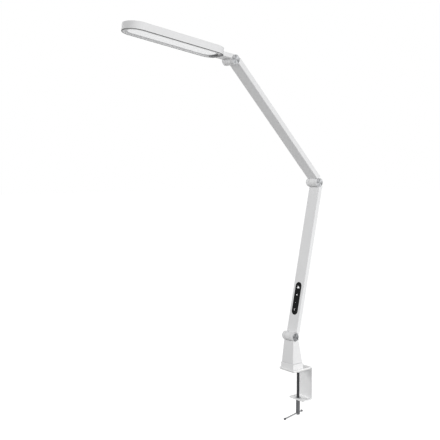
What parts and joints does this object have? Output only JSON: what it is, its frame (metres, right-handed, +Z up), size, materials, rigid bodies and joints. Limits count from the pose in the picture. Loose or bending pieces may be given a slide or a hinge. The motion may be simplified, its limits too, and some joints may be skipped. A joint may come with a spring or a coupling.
{
  "type": "swing arm desk lamp",
  "caption": "Clamp-on swing arm desk lamp: flat arms on friction hinges, a long slim LED head with rounded ends that tilts and rolls, a swivelling tower and a screw desk clamp.",
  "frame": {"origin": "on the clamp screw's axis, at the underside of the upper jaw pad, where the desk top touches it", "axes": "+Z up; the arms lie in the X-Z plane with the lamp head towards -X; +Y to the lamp's left; every tilt hinge turns about an axis along Y"},
  "size_m": [0.5773, 0.0634, 0.9434],
  "materials": {
    "white_paint": "satin white powder coat",
    "fitting_paint": "satin white paint, slightly darker",
    "turned_aluminium": "spun",
    "zinc_steel": "zinc plated",
    "dark_steel": "blackened",
    "black_rubber": "matt",
    "nylon": "matt",
    "black_gloss": "polished",
    "black_plastic": "fine texture",
    "circuit_board": "solder mask",
    "opal_diffuser": "frosted",
    "plain_aluminium": "mill finish"
  },
  "bodies": {
    "clamp": {"clamp_bracket": "white_paint", "upper_jaw_pad": "black_rubber", "clamp_nut": "zinc_steel", "plinth": "fitting_paint", "plinth_screw_right": "zinc_steel", "plinth_screw_left": "zinc_steel", "swivel_bolt": "zinc_steel", "swivel_glide": "nylon", "swivel_washer": "zinc_steel", "swivel_nut": "zinc_steel"},
    "pressure_foot": {"pressure_foot": "zinc_steel", "pressure_foot_grip": "black_rubber"},
    "clamp_screw": {"clamp_screw": "dark_steel"},
    "tommy_bar": {"tommy_bar": "zinc_steel"},
    "tower": {"tower_shell": "white_paint", "tower_floor": "fitting_paint", "tower_floor_screw_right": "zinc_steel", "tower_floor_screw_left": "zinc_steel", "power_inlet": "black_plastic", "base_hinge_bolt": "zinc_steel", "base_hinge_nut": "zinc_steel", "base_hinge_cap_right": "turned_aluminium", "base_hinge_cap_left": "turned_aluminium", "base_hinge_washer_right": "nylon", "base_hinge_washer_left": "nylon"},
    "lower_arm": {"lower_arm_tube": "white_paint", "lower_arm_foot_fitting": "fitting_paint", "lower_arm_elbow_fitting": "fitting_paint", "lower_arm_foot_screw": "zinc_steel", "lower_arm_elbow_screw": "zinc_steel", "touch_panel": "black_gloss", "control_board": "circuit_board", "elbow_bolt": "zinc_steel", "elbow_nut": "zinc_steel", "elbow_cap_right": "turned_aluminium", "elbow_cap_left": "turned_aluminium", "elbow_washer_right": "nylon", "elbow_washer_left": "nylon"},
    "upper_arm": {"upper_arm_tube": "white_paint", "upper_arm_elbow_fitting": "fitting_paint", "upper_arm_head_fitting": "fitting_paint", "upper_arm_elbow_screw": "zinc_steel", "upper_arm_head_screw": "zinc_steel"},
    "neck": {"neck": "fitting_paint", "head_hinge_bolt": "zinc_steel", "head_hinge_nut": "zinc_steel", "head_hinge_cap_right": "turned_aluminium", "head_hinge_cap_left": "turned_aluminium", "head_hinge_washer_right": "nylon", "head_hinge_washer_left": "nylon"},
    "head": {"head_housing": "white_paint", "head_bezel": "white_paint", "diffuser": "opal_diffuser", "reflector": "nylon", "led_board": "circuit_board", "heat_plate": "plain_aluminium", "roll_spindle": "zinc_steel", "roll_washer": "zinc_steel", "roll_nut": "zinc_steel"}
  },
  "joints": [
    {"name": "foot_travel", "type": "slide", "parent": "clamp", "child": "pressure_foot", "axis": [0, 0, -1], "range_m": [0, 0.065]},
    {"name": "screw_turn", "type": "hinge", "parent": "pressure_foot", "child": "clamp_screw", "pos_m": [0, 0, -0.1178], "axis": [0, 0, -1], "range_deg": [0, 18720]},
    {"name": "tommy_bar_slide", "type": "slide", "parent": "clamp_screw", "child": "tommy_bar", "axis": [0.9759, 0.2181, 0], "range_m": [-0.0094, 0.0522]},
    {"name": "base_swivel", "type": "hinge", "parent": "clamp", "child": "tower", "pos_m": [-0.0221, 0, 0.0201], "axis": [0, 0, 1], "range_deg": [-90, 90]},
    {"name": "base_tilt", "type": "hinge", "parent": "tower", "child": "lower_arm", "pos_m": [-0.0285, 0, 0.0886], "axis": [0, 1, 0], "range_deg": [-87, 38]},
    {"name": "elbow", "type": "hinge", "parent": "lower_arm", "child": "upper_arm", "pos_m": [0.05535, 0, 0.47971], "axis": [0, -1, 0], "range_deg": [-55, 110]},
    {"name": "head_tilt", "type": "hinge", "parent": "upper_arm", "child": "neck", "pos_m": [-0.22352, 0, 0.76648], "axis": [0, 1, 0], "range_deg": [-115, 35]},
    {"name": "head_roll", "type": "hinge", "parent": "neck", "child": "head", "pos_m": [-0.22279, 0, 0.77193], "axis": [-0.9912, 0, 0.1323], "range_deg": [-90, 90]}
  ],
  "couplings": [
    {"joint": "screw_turn", "follows": "foot_travel", "rad_per_m": 5026.5}
  ]
}
